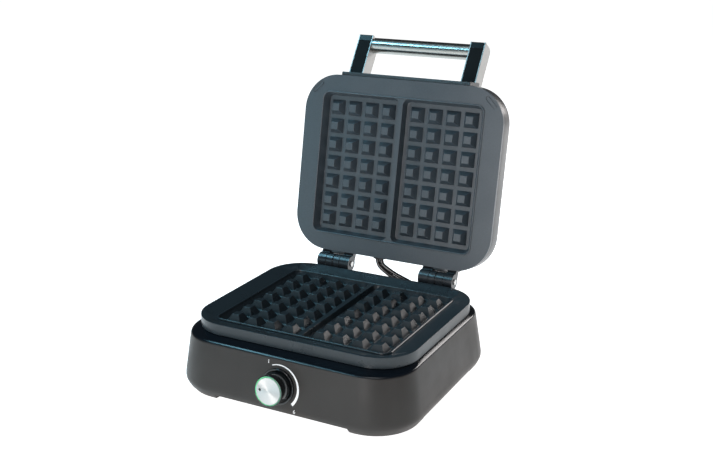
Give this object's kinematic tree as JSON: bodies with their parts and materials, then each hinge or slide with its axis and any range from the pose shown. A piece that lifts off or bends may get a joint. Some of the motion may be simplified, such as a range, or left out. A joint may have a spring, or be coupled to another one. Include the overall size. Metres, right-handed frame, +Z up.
{
  "type": "waffle maker",
  "caption": "Countertop waffle iron: hinged studded plates for two deep rectangular waffles, square housing with a heat dial, bar handle on the lid, shown open.",
  "frame": {"origin": "middle of the open object's box, on the surface that the feet stand on", "axes": "+Z up; the front with the dial faces -Y; the lid's hinge line runs along X"},
  "size_m": [0.26, 0.3478, 0.3211],
  "materials": {
    "housing_plastic": "satin black moulded shell, finely textured",
    "lid_plastic": "satin black",
    "plate_coating": "non-stick coating, satin, faintly speckled",
    "foot_rubber": "matt",
    "lead_jacket": "glossy black jacket",
    "hinge_metal": "semi-gloss black",
    "steel": "plain sheet and bar",
    "screw_steel": "zinc plated",
    "handle_tube": "polished tube, faintly brushed",
    "handle_black": "satin black",
    "handle_gloss": "gloss black",
    "handle_silver": "satin silver",
    "element_sheath": "oxidised sheath",
    "thermostat_body": "phenolic and ceramic",
    "fuse_body": "ceramic",
    "lamp_board": "lamp on a small board",
    "knob_gloss": "gloss black",
    "knob_metal": "spun disc",
    "knob_light": "translucent, lit green"
  },
  "bodies": {
    "base": {"base_housing": "housing_plastic", "bottom_cover": "housing_plastic", "bottom_cover_screws": "screw_steel", "cord_bush": "housing_plastic", "hinge_base_left": "hinge_metal", "hinge_base_right": "hinge_metal", "hinge_pin_left": "steel", "hinge_pin_right": "steel", "hinge_screws_base_left": "screw_steel", "hinge_screws_base_right": "screw_steel", "indicator_lamp": "lamp_board", "knob_bezel": "housing_plastic", "lead_bush_base": "foot_rubber", "lid_lead_1": "lead_jacket", "lid_lead_2": "lead_jacket", "lower_heating_element": "element_sheath", "lower_plate_screws": "screw_steel", "lower_reflector": "steel", "lower_waffle_plate": "plate_coating", "rubber_feet": "foot_rubber", "terminal_block": "thermostat_body", "thermal_fuse": "fuse_body", "thermal_fuse_clip": "steel", "thermostat": "thermostat_body", "thermostat_bracket": "steel", "thermostat_screws": "screw_steel"},
    "lid": {"handle_arm_left": "handle_black", "handle_arm_right": "handle_black", "handle_bar": "handle_tube", "handle_cheeks_left": "handle_silver", "handle_cheeks_right": "handle_silver", "handle_rail": "lid_plastic", "handle_tie_rod": "steel", "handle_tip_left": "handle_gloss", "handle_tip_right": "handle_gloss", "hinge_lid_left": "hinge_metal", "hinge_lid_right": "hinge_metal", "hinge_screws_lid_left": "screw_steel", "hinge_screws_lid_right": "screw_steel", "lead_bush_lid": "foot_rubber", "lid_cover": "lid_plastic", "lid_frame": "lid_plastic", "lid_thermal_fuse": "fuse_body", "upper_heating_element": "element_sheath", "upper_plate_screws": "screw_steel", "upper_reflector": "steel", "upper_waffle_plate": "plate_coating"},
    "knob": {"knob": "knob_gloss", "knob_face": "knob_metal", "knob_light_ring": "knob_light", "knob_shaft": "steel"}
  },
  "joints": [
    {"name": "lid_hinge", "type": "hinge", "parent": "base", "child": "lid", "pos_m": [0, 0.07432, 0.0751], "axis": [1, 0, 0], "range_deg": [0, 101.4], "deforming": ["lid_lead_1", "lid_lead_2"]},
    {"name": "knob_turn", "type": "hinge", "parent": "base", "child": "knob", "pos_m": [0, -0.15344, 0.0321], "axis": [0, 0.9895, -0.1446], "range_deg": [0, 228]}
  ]
}
